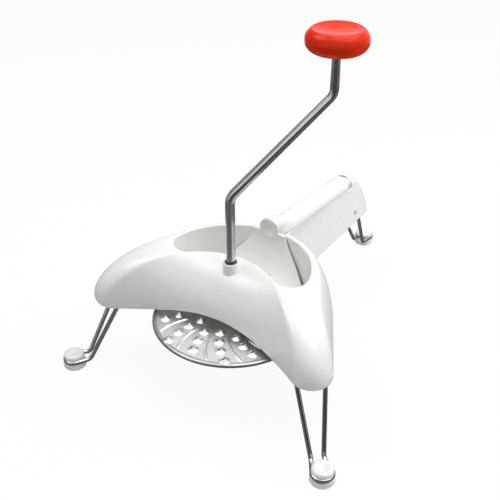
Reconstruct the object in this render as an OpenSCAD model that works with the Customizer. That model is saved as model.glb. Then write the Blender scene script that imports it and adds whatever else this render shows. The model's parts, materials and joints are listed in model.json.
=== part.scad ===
// Hand cranked rotary slicer on three folding wire legs, in millimetres.
// X points to the right, Y from the crank towards the end of the handle, Z up.
// The origin lies on the table, midway between the front feet and the rear foot.

/* [Disc] */
// Radius of the grating disc
disc_r = 70; // [64:1:76]
// Height of the disc's lower edge above the table
disc_z = 65; // [60:0.5:66]
// Height of the disc's turned rim
disc_lip = 3; // [2:0.5:4]
// Thickness of the disc's sheet
sheet_t = 0.8; // [0.5:0.1:1.2]
// Number of rows of teeth, every other one shifted by half a step
tooth_rows = 14; // [10:2:14]
// Height of a tooth above the sheet
tooth_h = 2.4; // [1:0.1:3]
// Radius of a tooth at its foot
tooth_r = 4.6; // [3.5:0.1:4.8]
// Radius of the hole in a tooth
tooth_hole_r = 2; // [1:0.1:2.4]
// Distance of the innermost tooth from the axis
tooth_first_r = 28; // [26:0.5:29]
// Distance between the teeth of a row
tooth_step = 12; // [10.5:0.5:12]
// Slant of the rows, in degrees for each millimetre outwards
row_slant = 0.42; // [0:0.02:0.6]
// Height of the curved ribs between the rows
rib_h = 0.7; // [0.4:0.1:1.2]

/* [Body] */
// Height of the hopper's rim above the table
rim_z = 120; // [114:0.5:124]
// Height of the skirt's lower edge above the table
skirt_z = 70; // [68:0.5:73]
// Rise of the skirt's front arch in the middle
arch_rise = 8; // [4:0.5:12]
// How far the skin turns under at the skirt's edge, in degrees
skirt_tuck = 10; // [0:1:14]
// How much sooner the skin falls away in the middle of the front
front_fall = 0.35; // [0:0.05:0.5]
// Wall thickness of the mouldings
wall = 2.4; // [1.8:0.1:3]
// How far the hopper's wall lies inside the disc's edge
hopper_inset = 2; // [1:0.5:4]
// Distance of the hopper's front wall behind the crank axis
crest_y = 15; // [13:0.5:16]
// Radius of the hopper's front wall, which bows backwards
crest_r = 62; // [58:1:80]
// Radius of the hopper's corners
corner_r = 16; // [13:0.5:18]
// Distance of the front arch from the crank axis
arch_y = -25; // [-30:0.5:-20]
// Sideways distance of a lobe's tip centre from the crank axis
lobe_x = 101; // [94:0.5:108]
// Forward distance of a lobe's tip centre from the crank axis
lobe_y = -38; // [-44:0.5:-32]
// Radius of a lobe's tip
lobe_r = 17; // [16.5:0.25:20]
// Radius of the skirt round the back of the hopper
flank_r = 92; // [88:0.5:98]
// Distance of that radius's centre from the crank axis
flank_y = -8; // [-12:0.5:-4]

/* [Hub] */
// Diameter of the hub boss at its top
boss_d = 13.6; // [13:0.2:18]
// Height of the hub boss above the rim
boss_rise = 3; // [1:0.5:8]
// Widening of the hub boss's radius from its top to its foot
boss_flare = 2.2; // [0:0.1:3]
// Wall of the bearing sleeve in the boss
bush_wall = 1.8; // [1.2:0.1:2.5]
// Diameter of the dark thrust ring on the rod
collar_d = 10.4; // [9:0.1:13]
// Height of the thrust ring
collar_h = 1.1; // [0.8:0.1:3]

/* [Crank] */
// Diameter of the crank's rod
rod_d = 7; // [6:0.5:8]
// Height of the crank's lower corner above the table
low_corner_z = 185; // [175:1:200]
// Height of the crank's upper corner above the table
high_corner_z = 272; // [255:1:285]
// Throw of the crank
crank_throw = 80; // [65:1:85]
// Turn of the crank at rest, from the right towards the handle
crank_turn = 35; // [0:1:90]
// Bend radius of the lower corner
low_bend_r = 16; // [10:1:24]
// Bend radius of the upper corner
high_bend_r = 12; // [8:1:18]

/* [Knob] */
// Diameter of the knob
knob_d = 48.6; // [44:0.2:54]
// Height of the knob
knob_h = 18.5; // [17.5:0.5:24]
// Height of the knob's underside above the upper corner
knob_lift = 33; // [28:1:40]
// Diameter of the dish in the knob's top
dish_d = 33; // [26:1:36]
// Depth of that dish
dish_depth = 2.6; // [1.5:0.1:3.5]

/* [Handle] */
// Width of the handle at its lower edge
handle_w = 40; // [37:0.5:44]
// Distance of the handle's end from the crank axis
handle_end = 247; // [240:1:260]
// How far the handle's lower edge lies below the skirt's
handle_drop = 2.5; // [0:0.5:4]
// Height of the seam between handle and pusher, at the hinge
seam_hinge_z = 104.5; // [102:0.5:107]
// Fall of the seam towards the handle's end, in degrees
seam_tilt = 4.8; // [3:0.1:6]

/* [Pusher] */
// Radius of the pusher's half round lever
lever_r = 11; // [10.5:0.1:12.5]
// Distance of the hinge from the crank axis
hinge_y = 203; // [200:0.5:206]
// Height of the hinge above the seam
hinge_rise = 4; // [3.5:0.1:4.5]
// Diameter of the hinge pin
hinge_pin_d = 3; // [2:0.1:3.4]
// Radius of the round finger tab at the lever's front
tab_r = 9.8; // [9:0.1:10.5]
// Height of the finger tab's centre above the rim
tab_rise = 5.5; // [4.5:0.5:7]
// Depth of the finger scoop in the tab
scoop_depth = 2.6; // [1:0.1:4]
// Radius of the presser's hollow face
face_r = 54.6; // [50:0.2:60]
// Thickness of the presser's face
face_t = 3; // [2:0.1:4]
// Thickness of the presser's plate
plate_t = 2.5; // [2:0.1:3]
// Gap between the presser's plate and the hopper's wall
plate_gap = 5; // [4:0.25:7]
// Height of the raised pad on the lever's top
pad_h = 0.6; // [0.3:0.1:1]

/* [Legs] */
// Diameter of the legs' wire
wire_d = 4; // [3:0.1:4.4]
// Direction of a front leg, from sideways towards the front, in degrees
leg_turn = 45.8; // [40:0.1:52]
// Distance of a front foot from its lobe's tip centre, seen from above
front_reach = 43.6; // [36:0.2:50]
// Distance of a front leg's pivot behind its lobe's tip centre
pivot_back = 5; // [3:0.5:8]
// Height of a front leg's pivot above the skirt's edge
front_pivot_rise = 8; // [7:0.25:10]
// Half of the distance between a front leg's wires at the pivot
front_spread = 13.4; // [12:0.1:13.8]
// Distance of the rear leg's pivot from the crank axis
rear_pivot_y = 208; // [204:0.5:212]
// Height of the rear leg's pivot above the handle's lower edge
rear_pivot_rise = 8.5; // [7:0.25:10]
// Distance of the rear foot from its pivot, seen from above
rear_reach = 68.6; // [60:0.2:76]
// Distance of the rear leg's knee from its pivot
knee_run = 16.5; // [12:0.5:20]
// Fall of the rear leg from its pivot to its knee
knee_fall = 4.5; // [2:0.5:7]
// Distance from a foot's centre to the bend in front of it
neck_run = 14.6; // [13:0.2:17]
// Half of the distance between the wires at that bend
neck_spread = 5.3; // [4.5:0.1:6]

/* [Feet] */
// Diameter of a foot's pad
pad_d = 21; // [20:0.5:24]
// Height of a foot's pad
foot_pad_h = 6.1; // [5:0.1:8]
// Diameter of a foot's cap
cap_d = 17; // [16:0.5:20]
// Height of a foot's cap above the wire
cap_h = 4.2; // [3:0.1:6]
// Diameter of the stem in the wire's ring
stem_d = 12.4; // [10:0.2:14]

/* [Hidden] */
$fn = 64;
tiny = 0.01;
run_gap = 0.05;      // radial clearance of a running fit
seat_gap = 0.3;      // gap between pieces that move past each other
fit_gap = 0.1;       // gap between pieces that are clamped together
swing_gap = 0.6;     // gap round pieces that turn past each other
tooth_gap = 1.5;     // gap between the teeth and the hopper
bend_swell = 0.04;   // a bend is this much thicker than the straight rod
bend_lap = 0.3;      // length of straight rod that runs on inside a bend

// Hopper and skirt
hopper_r = disc_r - hopper_inset;
disc_top = disc_z + disc_lip;
hopper_z = disc_top + tooth_h + tooth_gap;
crest_c = [0, crest_y - crest_r];
corner_out = hopper_r - corner_r;
corner_c_y = (pow(crest_r + corner_r, 2) - pow(corner_out, 2) - pow(crest_c.y, 2)) / (-2 * crest_c.y);
corner_c = [sqrt(pow(corner_out, 2) - pow(corner_c_y, 2)), corner_c_y];
lobe_c = [lobe_x, lobe_y];
arch_dip = lobe_y - arch_y;
arch_r = (pow(lobe_x, 2) + pow(arch_dip, 2) - pow(lobe_r, 2)) / (2 * (lobe_r - arch_dip));
arch_c = [0, arch_y - arch_r];
flank_c = [0, flank_y];
flank_a = atan2(lobe_y - flank_y, lobe_x) + acos((flank_r - lobe_r) / norm(lobe_c - flank_c));
front_steps = 9;
tip_steps = 10;
side_steps = 3;
back_steps = 9;
skin_steps = 9;
rim_edge = 1.1;

// Hub
rod_r = rod_d / 2;
bush_r = rod_r + run_gap;
boss_top = rim_z + boss_rise;
neck_h = 12;
boss_z = hopper_z + neck_h;
rod_tail = 6;
rod_end_z = disc_z - rod_tail;

// Crank
crank_dir = [cos(crank_turn), sin(crank_turn), 0];
knob_z = high_corner_z + knob_lift;
knob_top = knob_z + knob_h;
knob_r = knob_d / 2;
knob_round = 9;
knob_wall = 2.6;
plug_h = 3;
plug_r = knob_r - knob_round;
cavity_top = knob_top - dish_depth - knob_wall;
retainer_h = 1;
rod_top_z = cavity_top - swing_gap;
sleeve_top = rod_top_z - retainer_h - 1;

// Handle and pusher
handle_z = skirt_z - handle_drop;
crown_r = lever_r - hinge_rise;
block_y = hinge_y + crown_r + swing_gap;
block_top = seam_z(block_y) + lever_r - seat_gap;
handle_front = disc_r + swing_gap;
tab_z = rim_z + tab_rise;
core_w = lever_r - 2;
lug_w = 3.5;
lug_wall = 1.9;
lug_r = hinge_pin_d / 2 + lug_wall;
presser_gap = 1.4;
presser_r = hopper_r - presser_gap;
presser_top_t = 1.3;
plate_z = hopper_z + fit_gap;
face_c = [0, presser_r - presser_top_t - face_r, rim_z + 2];
face_foot_y = face_c.y + sqrt(pow(face_r, 2) - pow(face_c.z - plate_z - plate_t, 2));
tab_t = 4;
tab_y = face_c.y + face_r - tab_t;

// Legs and feet
wire_r = wire_d / 2;
ring_z = foot_pad_h + fit_gap + wire_r + bend_swell;
ring_r = stem_d / 2 + fit_gap + wire_r + bend_swell;
cap_z = ring_z + wire_r + bend_swell + fit_gap;
front_pivot_z = skirt_z + front_pivot_rise;
rear_pivot_z = handle_z + rear_pivot_rise;
front_foot = lobe_c + front_reach * [cos(leg_turn), -sin(leg_turn)];
rear_foot_y = rear_pivot_y + rear_reach;
rear_out = handle_half(rear_pivot_z);
pivot_bend = 3.4;
knee_bend = 10;
neck_bend = 6;
rear_spread = rear_out - wall - pivot_bend - fit_gap;
lug_half = 8;
stub_in = 3;

// The crank axis lies this far from the origin
crank_y = -(front_foot.y + rear_foot_y) / 2;

// Small helpers
function mix(a, b, t) = a + (b - a) * t;
function unit(v) = v / norm(v);
function polar(r, a) = r * [cos(a), sin(a)];
function arc(c, r, a, b, n, first = 0) = [for (i = [first : n]) c + polar(r, mix(a, b, i / n))];
function mirrored(half) = concat(half, [for (i = [len(half) - 2 : -1 : 1]) [-half[i].x, half[i].y]]);

// Height of the seam under the lever, and half width of the handle at a height
function seam_z(y) = seam_hinge_z + (hinge_y - y) * tan(seam_tilt);
function handle_half(z) = z < seam_z(block_y)
    ? mix(handle_w / 2, lever_r, (z - handle_z) / (seam_z(block_y) - handle_z))
    : sqrt(max(pow(lever_r, 2) - pow(z - seam_z(block_y), 2), 1));

module on_axis() {
    translate([0, crank_y, 0]) children();
}

// The seam's own frame: its Y runs along the lever, with the hinge above its origin
module along_seam() {
    translate([0, hinge_y, seam_hinge_z]) rotate([-seam_tilt, 0, 0]) children();
}

module bar_x(r, half) {
    translate([-half, 0, 0]) rotate([0, 90, 0]) cylinder(r = r, h = 2 * half);
}

// A rod that runs straight between its points, and round a bend at each corner
function turn_at(p, i) = acos(unit(p[i] - p[i - 1]) * unit(p[i + 1] - p[i]));
function trim_at(p, bends, i) = i == 0 || i == len(p) - 1 ? 0 : bends[i - 1] * tan(turn_at(p, i) / 2);

module bent_rod(p, bends, r) {
    for (i = [0 : len(p) - 2]) {
        w = unit(p[i + 1] - p[i]);
        from = p[i] + w * (trim_at(p, bends, i) - (i > 0 ? bend_lap : 0));
        to = p[i + 1] - w * (trim_at(p, bends, i + 1) - (i < len(p) - 2 ? bend_lap : 0));
        translate(from) rotate([0, acos(w.z), atan2(w.y, w.x)]) cylinder(r = r, h = norm(to - from));
    }
    for (i = [1 : len(p) - 2]) {
        way = unit(p[i] - p[i - 1]);
        next = unit(p[i + 1] - p[i]);
        side = unit(next - way * (next * way));
        axis = cross(way, side);
        centre = p[i] - way * trim_at(p, bends, i) + side * bends[i - 1];
        multmatrix([
            [-side.x, way.x, axis.x, centre.x],
            [-side.y, way.y, axis.y, centre.y],
            [-side.z, way.z, axis.z, centre.z]
        ]) rotate_extrude(angle = turn_at(p, i)) translate([bends[i - 1], 0]) circle(r + bend_swell);
    }
}

// Body
// The hopper's mouth, seen from above: a half moon with round corners
function mouth_half(inset) =
    let (crest_end = atan2(corner_c.y - crest_c.y, corner_c.x), corner_end = atan2(corner_c.y, corner_c.x))
    concat(
        arc(crest_c, crest_r + inset, 90, crest_end, front_steps),
        arc(corner_c, corner_r - inset, crest_end - 180, corner_end, tip_steps, 1),
        arc([0, 0], hopper_r - inset, corner_end, 90, side_steps + back_steps, 1)
    );

// The skirt's lower edge: a front arch, the lobes' tips, straight sides and a round back
function skirt_half() =
    let (
        arch_end = atan2(lobe_y - arch_c.y, lobe_x),
        tip = lobe_c + lobe_r * [cos(flank_a), sin(flank_a)],
        side = flank_c + flank_r * [cos(flank_a), sin(flank_a)]
    )
    concat(
        arc(arch_c, arch_r, 90, arch_end, front_steps),
        arc(lobe_c, lobe_r, arch_end - 180, flank_a, tip_steps, 1),
        [for (i = [1 : side_steps]) mix(tip, side, i / side_steps)],
        arc(flank_c, flank_r, flank_a, 90, back_steps, 1)
    );

// The skirt's edge rises towards the middle of the front arch
arch_half = 0.8 * lobe_x;
function front_share(p) = p.y > 0 ? 0 : pow(max(0, 1 - pow(p.x / arch_half, 2)), 2);

// One station of the body: up the hopper's wall, over the rim, down the skin and back inside
function skin(run, from, low, top, fall) = [for (k = [0 : skin_steps])
    let (last = 90 + skirt_tuck, a = last * k / skin_steps, left = (cos(a) - cos(last)) / (1 - cos(last)))
    [from + (run - from) * sin(a) / sin(last), low + (top - low) * pow(left, fall)]];
function reversed(list) = [for (i = [len(list) - 1 : -1 : 0]) list[i]];
function station(mouth, skirt) =
    let (
        run = norm(skirt - mouth),
        way = unit(skirt - mouth),
        low = skirt_z + arch_rise * front_share(skirt),
        fall = 1 + front_fall * front_share(skirt),
        flat = concat(
            [[0, hopper_z], [0, rim_z - rim_edge], [0.3 * rim_edge, rim_z - 0.3 * rim_edge]],
            skin(run, rim_edge, low, rim_z, fall),
            reversed(skin(run - wall, wall, low, rim_z - wall, fall)),
            [[wall, hopper_z]]
        )
    )
    [for (q = flat) [mouth.x + way.x * q.x, mouth.y + way.y * q.x, q.y]];

module shell() {
    mouth = mirrored(mouth_half(0));
    skirt = mirrored(skirt_half());
    n = len(mouth);
    rings = [for (i = [0 : n - 1]) station(mouth[i], skirt[i])];
    m = len(rings[0]);
    faces = [for (i = [0 : n - 1], k = [0 : m - 1])
        let (here = i * m, next = ((i + 1) % n) * m, k2 = (k + 1) % m)
        let (a = here + k, b = here + k2, c = next + k2, d = next + k)
        each [[a, c, b], [a, d, c]]];
    polyhedron([for (ring = rings) each ring], faces);
}

// The handle's outer form, or its hollow when drawn further in
module handle_form(inset) {
    end_steps = 9;
    hull() {
        for (i = [0 : end_steps]) {
            a = 90 * i / end_steps;
            z = mix(handle_z, block_top, sin(a));
            w = handle_half(z) - inset;
            end = block_y + (handle_end - block_y) * pow(cos(a), 1.5) - inset;
            if (w > 0.5)
                translate([0, 0, z - (i == 0 ? inset : 0)]) linear_extrude(tiny) union() {
                    translate([-w, handle_front + inset]) square([2 * w, end - w - handle_front - inset]);
                    translate([0, end - w]) circle(w, $fn = 32);
                }
        }
        top_w = lever_r - inset;
        top_h = seam_z(handle_front) + 2 - handle_z;
        translate([-top_w, handle_front + inset, handle_z]) cube([2 * top_w, tiny, top_h]);
    }
}

// All that lies above the seam, from the hopper to the block behind the lever
skin_clear = 2 * handle_w;
module above_seam(lift, more) {
    along_seam() translate([-skin_clear, -hinge_y, lift]) cube([2 * skin_clear, block_y + more, skin_clear]);
}

module handle() {
    difference() {
        handle_form(0);
        above_seam(0, 0);
        difference() {
            handle_form(wall);
            above_seam(-wall, wall);
        }
        // Trough that the lever's round end turns in
        along_seam() translate([0, 0, hinge_rise]) bar_x(crown_r + seat_gap, core_w + seat_gap);
    }
}

// Boss for the crank, with a web back to the hopper's wall
module boss() {
    web_half = 2;
    translate([0, 0, boss_z]) cylinder(r1 = boss_d / 2 + boss_flare, r2 = boss_d / 2, h = boss_top - boss_z);
    translate([-web_half, 0, boss_z]) cube([2 * web_half, crest_y - wall / 2, rim_z - wall - boss_z]);
}

// Lug of the pusher's hinge, on a rib across the handle
module hinge_lug() {
    rib_t = 2;
    foot = crown_r + rib_t;
    rib_half = handle_half(seam_z(hinge_y) - foot) - wall / 2;
    along_seam() {
        translate([0, 0, hinge_rise]) bar_x(lug_r, lug_w);
        translate([-lug_w, -lug_r, -foot]) cube([2 * lug_w, 2 * lug_r, foot + hinge_rise]);
        translate([-rib_half, -lug_r, -foot]) cube([2 * rib_half, 2 * lug_r, rib_t]);
    }
}

// Lug inside a lobe for the ends of a front leg, with a web out to the lobe's tip
module leg_lug(side) {
    half_t = wire_r + 2.5;
    lug_rise = 7;
    web_half = 4;
    web_end = pivot_back + lobe_r - wall / 2 - swing_gap;
    at_front_pivot(side) {
        translate([-half_t, -lug_half, -half_t]) cube([2 * half_t, 2 * lug_half, half_t + lug_rise]);
        translate([0, -web_half, -half_t]) cube([web_end, 2 * web_half, half_t - 0.5]);
    }
}

module at_front_pivot(side) {
    translate([side * lobe_x, lobe_y, front_pivot_z]) rotate([0, 0, side > 0 ? -leg_turn : 180 + leg_turn])
        translate([-pivot_back, 0, 0]) children();
}

module body_shell() {
    color("white") on_axis() difference() {
        union() {
            difference() {
                union() {
                    shell();
                    handle();
                }
                // Notch in the rim for the lever
                along_seam() translate([-lever_r - 0.5, -hinge_y, 0])
                    cube([2 * lever_r + 1, flank_y + flank_r + 1, rim_z - hopper_z]);
            }
            boss();
            hinge_lug();
            leg_lug(1);
            leg_lug(-1);
        }
        translate([0, 0, boss_z - 1]) cylinder(r = bush_r + bush_wall, h = boss_top - boss_z + 2);
        along_seam() translate([0, 0, hinge_rise]) bar_x(hinge_pin_d / 2 + run_gap, lug_w + 1);
        for (side = [-1, 1], end = [-1, 1])
            at_front_pivot(side) rotate([-90 * end, 0, 0])
                translate([0, 0, stub_in - seat_gap]) cylinder(r = wire_r + run_gap, h = lug_half);
        translate([0, rear_pivot_y, rear_pivot_z]) bar_x(wire_r + run_gap, handle_w);
    }
}

module hub_bush() {
    color("gainsboro") on_axis() translate([0, 0, boss_z]) difference() {
        cylinder(r = bush_r + bush_wall, h = boss_top - boss_z);
        translate([0, 0, -1]) cylinder(r = bush_r, h = boss_top - boss_z + 2);
    }
}

// Crank and disc
pin_d = 2.5;
pin_half = 5.5;
neck_r = 6;
flange_r = 12;
flange_t = 2;
pin_z = mix(disc_top + flange_t, boss_z, 0.5);
neck_top = boss_z - seat_gap;
rivet_at = 9;
rivet_r = 1.5;
rivet_count = 3;
clip_r = 6.5;
clip_t = 1;
clip_z = disc_top - sheet_t - fit_gap - clip_t;

module crank_rod() {
    high = crank_throw * crank_dir;
    color("silver") on_axis() difference() {
        bent_rod(
            [[0, 0, rod_end_z], [0, 0, low_corner_z], high + [0, 0, high_corner_z], high + [0, 0, rod_top_z]],
            [low_bend_r, high_bend_r], rod_r
        );
        translate([0, 0, pin_z]) bar_x(pin_d / 2, rod_d);
    }
}

module crank_collar() {
    color("dimgray") on_axis() translate([0, 0, boss_top + seat_gap]) difference() {
        cylinder(d = collar_d, h = collar_h);
        translate([0, 0, -1]) cylinder(r = rod_r, h = collar_h + 2);
    }
}

module drive_pin() {
    color("silver") on_axis() translate([0, 0, pin_z]) bar_x(pin_d / 2, pin_half);
}

module teeth() {
    for (row = [0 : tooth_rows - 1], k = [0 : row % 2 == 0 ? 2 : 3]) {
        out = (k + (row % 2 == 0 ? 0.5 : 0)) * tooth_step;
        rotate([0, 0, 360 * row / tooth_rows + row_slant * out])
            translate([tooth_first_r + out, 0, disc_top]) children();
    }
}

// A curved rib from near the hub to near the rim
module rib() {
    rib_w = 1.2;
    bow_r = 50;
    run = disc_r - 4 - tooth_first_r - 8;
    a = [tooth_first_r + 8, 0];
    b = (disc_r - 4) * [cos(row_slant * run), sin(row_slant * run)];
    half = norm(b - a) / 2;
    across = [-(b - a).y, (b - a).x] / (2 * half);
    c = (a + b) / 2 + across * sqrt(pow(bow_r, 2) - pow(half, 2));
    translate([c.x, c.y, disc_top - sheet_t / 2]) rotate([0, 0, atan2(a.y - c.y, a.x - c.x)])
        rotate_extrude(angle = 2 * asin(half / bow_r))
            translate([bow_r - rib_w / 2, 0]) square([rib_w, rib_h + sheet_t / 2]);
}

module disc_plate() {
    eye_r = rod_r + fit_gap;
    root = sheet_t / 2;
    tip_t = 0.6;
    color("lightgray") on_axis() difference() {
        union() {
            translate([0, 0, disc_z]) rotate_extrude(convexity = 4) polygon([
                [eye_r, disc_lip - sheet_t], [disc_r - 2, disc_lip - sheet_t], [disc_r - 1.4, 0],
                [disc_r - 0.5, 0], [disc_r, 0.6], [disc_r, disc_lip - 0.9], [disc_r - 0.9, disc_lip],
                [eye_r, disc_lip]
            ]);
            teeth() translate([0, 0, -root])
                cylinder(r1 = tooth_r, r2 = tooth_hole_r + tip_t, h = tooth_h + root);
            for (row = [0 : tooth_rows - 1])
                rotate([0, 0, 360 * (row + 0.62) / tooth_rows]) rib();
        }
        teeth() translate([0, 0, -sheet_t - 1]) cylinder(r = tooth_hole_r, h = tooth_h + sheet_t + 2);
        rivets() translate([0, 0, disc_top - sheet_t - 1]) cylinder(r = rivet_r, h = sheet_t + 2);
    }
}

module rivets() {
    for (k = [0 : rivet_count - 1])
        rotate([0, 0, 360 * (k + 0.25) / rivet_count]) translate([rivet_at, 0, 0]) children();
}

module disc_hub() {
    color("whitesmoke") on_axis() difference() {
        union() {
            translate([0, 0, disc_top]) cylinder(r = flange_r, h = flange_t);
            translate([0, 0, disc_top]) cylinder(r = neck_r, h = neck_top - disc_top);
        }
        translate([0, 0, disc_top - 1]) cylinder(r = rod_r, h = neck_top - disc_top + 2);
        translate([0, 0, pin_z]) bar_x(pin_d / 2, flange_r);
        rivets() translate([0, 0, disc_top - 1]) cylinder(r = rivet_r, h = flange_t + 2);
    }
}

module disc_rivets() {
    head_r = 2.4;
    head_h = 0.9;
    stack = flange_t + sheet_t;
    color("silver") on_axis() rivets() translate([0, 0, disc_top - sheet_t]) {
        cylinder(r = rivet_r, h = stack);
        translate([0, 0, stack]) cylinder(r1 = head_r, r2 = head_r - 0.7, h = head_h);
        translate([0, 0, -head_h]) cylinder(r1 = head_r - 0.7, r2 = head_r, h = head_h);
    }
}

module disc_clip() {
    color("gray") on_axis() translate([0, 0, clip_z]) difference() {
        cylinder(r = clip_r, h = clip_t);
        translate([0, 0, -1]) cylinder(r = rod_r, h = clip_t + 2);
        translate([-rod_r * 0.8, 0, -1]) cube([rod_r * 1.6, clip_r + 1, clip_t + 2]);
    }
}

// Knob
module at_knob() {
    on_axis() translate(crank_throw * crank_dir) children();
}

module knob_shell() {
    dish_r = (pow(dish_d / 2, 2) + pow(dish_depth, 2)) / (2 * dish_depth);
    color("red") at_knob() difference() {
        translate([0, 0, knob_z]) rotate_extrude() difference() {
            union() {
                square([knob_r - knob_round, knob_h]);
                translate([0, knob_round]) square([knob_r, knob_h - 2 * knob_round]);
                translate([knob_r - knob_round, knob_round]) circle(knob_round);
                translate([knob_r - knob_round, knob_h - knob_round]) circle(knob_round);
            }
            translate([-knob_r, -1]) square([knob_r, knob_h + 2]);
        }
        translate([0, 0, knob_top - dish_depth + dish_r]) sphere(dish_r, $fn = 128);
        translate([0, 0, knob_z - 1]) cylinder(r = plug_r, h = cavity_top - knob_z + 1);
    }
}

module knob_base() {
    color("firebrick") at_knob() difference() {
        union() {
            translate([0, 0, knob_z + 0.4]) cylinder(r = plug_r, h = plug_h);
            translate([0, 0, knob_z + 0.4]) cylinder(r = rod_r + 2.5, h = sleeve_top - knob_z - 0.4);
        }
        translate([0, 0, knob_z - 1]) cylinder(r = bush_r, h = knob_h);
    }
}

module knob_retainer() {
    color("silver") at_knob() translate([0, 0, sleeve_top + seat_gap]) difference() {
        cylinder(r = rod_r + 2.6, h = retainer_h);
        translate([0, 0, -1]) cylinder(r = rod_r, h = retainer_h + 2);
    }
}

// Pusher
module half_round(r, from, to) {
    intersection() {
        translate([0, from, 0]) rotate([-90, 0, 0]) cylinder(r = r, h = to - from);
        translate([-2 * r, from - 1, seat_gap]) cube([4 * r, to - from + 2, 2 * r]);
    }
}

lever_front = tab_y + tab_t - hinge_y;
blend_run = 26;
tab_blend = lever_front + blend_run;
blend_lap = 0.25;    // how far the tab's blend ends inside the lever

module lever() {
    hollow_start = tab_blend + 4;
    hollow_end = -14;
    slot_half = lug_w + seat_gap;
    slot_r = lug_r + swing_gap;
    along_seam() difference() {
        union() {
            half_round(lever_r, lever_front, 0);
            intersection() {
                half_round(lever_r, -1, crown_r + 1);
                translate([0, 0, hinge_rise]) bar_x(crown_r, core_w);
            }
            intersection() {
                half_round(lever_r + pad_h, lever_front + 46, -24);
                translate([-lever_r * 0.55, lever_front, 0]) cube([lever_r * 1.1, -lever_front, 2 * lever_r]);
            }
        }
        translate([0, hollow_start, 0]) rotate([-90, 0, 0])
            cylinder(r = lever_r - wall, h = hollow_end - hollow_start);
        // Slot that the hinge lug stands in
        translate([0, 0, hinge_rise]) bar_x(slot_r, slot_half);
        translate([-slot_half, -slot_r, -1]) cube([2 * slot_half, slot_r + lever_r, hinge_rise + 1]);
        translate([-slot_half, 0, -1]) cube([2 * slot_half, lever_r, hinge_rise + slot_r + 1]);
        translate([0, 0, hinge_rise]) bar_x(hinge_pin_d / 2, core_w);
    }
}

// The round finger tab, blended back into the lever
module tab() {
    scoop_r = (pow(tab_r - 1.5, 2) + pow(scoop_depth, 2)) / (2 * scoop_depth);
    difference() {
        hull() {
            translate([0, tab_y, tab_z]) rotate([-90, 0, 0]) cylinder(r = tab_r, h = tab_t, $fn = 48);
            along_seam() intersection() {
                translate([0, tab_blend, 0]) rotate([-90, 0, 0])
                    cylinder(r = lever_r - blend_lap, h = tiny, $fn = 64);
                translate([-2 * lever_r, tab_blend - 1, seat_gap + blend_lap])
                    cube([4 * lever_r, 2, 2 * lever_r]);
            }
        }
        translate([0, tab_y - scoop_r + scoop_depth, tab_z]) sphere(scoop_r);
        // Behind the hopper's wall, the blend ends above the lever's seat
        along_seam() translate([-2 * lever_r, presser_r - hinge_y, seat_gap + blend_lap - lever_r])
            cube([4 * lever_r, lever_front + hinge_y, lever_r]);
    }
}

// The presser's hollow face, as wide as the hopper at each height
module presser() {
    dimple_r = 4;
    dimple_x = 8.5;
    dimple_at = 43.5;
    difference() {
        intersection() {
            translate(face_c) difference() {
                bar_x(face_r + face_t, hopper_r);
                bar_x(face_r, hopper_r + 1);
            }
            translate([0, 0, plate_z]) cylinder(r = presser_r, h = face_c.z - plate_z);
            translate([-hopper_r, face_foot_y - face_t, 0]) cube([2 * hopper_r, hopper_r, 2 * rim_z]);
        }
        translate(face_c + (face_r - dimple_r + 1) * [0, cos(dimple_at), -sin(dimple_at)] + [dimple_x, 0, 0])
            sphere(dimple_r);
    }
    translate([0, 0, plate_z]) linear_extrude(plate_t) intersection() {
        polygon(mirrored(mouth_half(plate_gap)));
        translate([-hopper_r, 0]) square([2 * hopper_r, face_foot_y + 0.5]);
    }
}

module pusher() {
    color("white") on_axis() {
        lever();
        tab();
        presser();
    }
}

module hinge_pin() {
    color("silver") on_axis() along_seam() translate([0, 0, hinge_rise]) bar_x(hinge_pin_d / 2, core_w);
}

// Legs and feet
// A wire loop, drawn with its foot's centre above the origin and its pivot along -X
module leg(reach, pivot_z, spread, stub, knee) {
    neck = norm([neck_run, neck_spread]);
    grip = 180 - atan2(neck_spread, neck_run) - acos(ring_r / neck);
    for (s = [-1, 1]) {
        ends = [[-reach, s * stub, pivot_z], [-reach, s * spread, pivot_z]];
        bend = [-neck_run, s * neck_spread, ring_z];
        touch = [ring_r * cos(grip), s * ring_r * sin(grip), ring_z];
        down = [bend, touch + bend_lap * unit(touch - bend)];
        bent_rod(
            concat(ends, [for (k = knee) [k.x, s * k.y, k.z]], down),
            concat([pivot_bend], [for (k = knee) knee_bend], [neck_bend]), wire_r
        );
    }
    translate([0, 0, ring_z]) rotate([0, 0, -grip])
        rotate_extrude(angle = 2 * grip) translate([ring_r, 0]) circle(wire_r + bend_swell);
}

module at_front_foot(side) {
    on_axis() translate([side * front_foot.x, front_foot.y, 0])
        rotate([0, 0, side > 0 ? -leg_turn : 180 + leg_turn]) children();
}

module at_rear_foot() {
    on_axis() translate([0, rear_foot_y, 0]) rotate([0, 0, 90]) children();
}

module front_leg(side) {
    color("silver") at_front_foot(side)
        leg(front_reach + pivot_back, front_pivot_z, front_spread, stub_in, []);
}

module leg_left() {
    front_leg(-1);
}

module leg_right() {
    front_leg(1);
}

module leg_rear() {
    knee = [-rear_reach + knee_run, rear_spread - 0.4, rear_pivot_z - knee_fall];
    color("silver") at_rear_foot() leg(rear_reach, rear_pivot_z, rear_spread, rear_out, [knee]);
}

spigot_r = 4;
spigot_z = 2.2;

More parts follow.
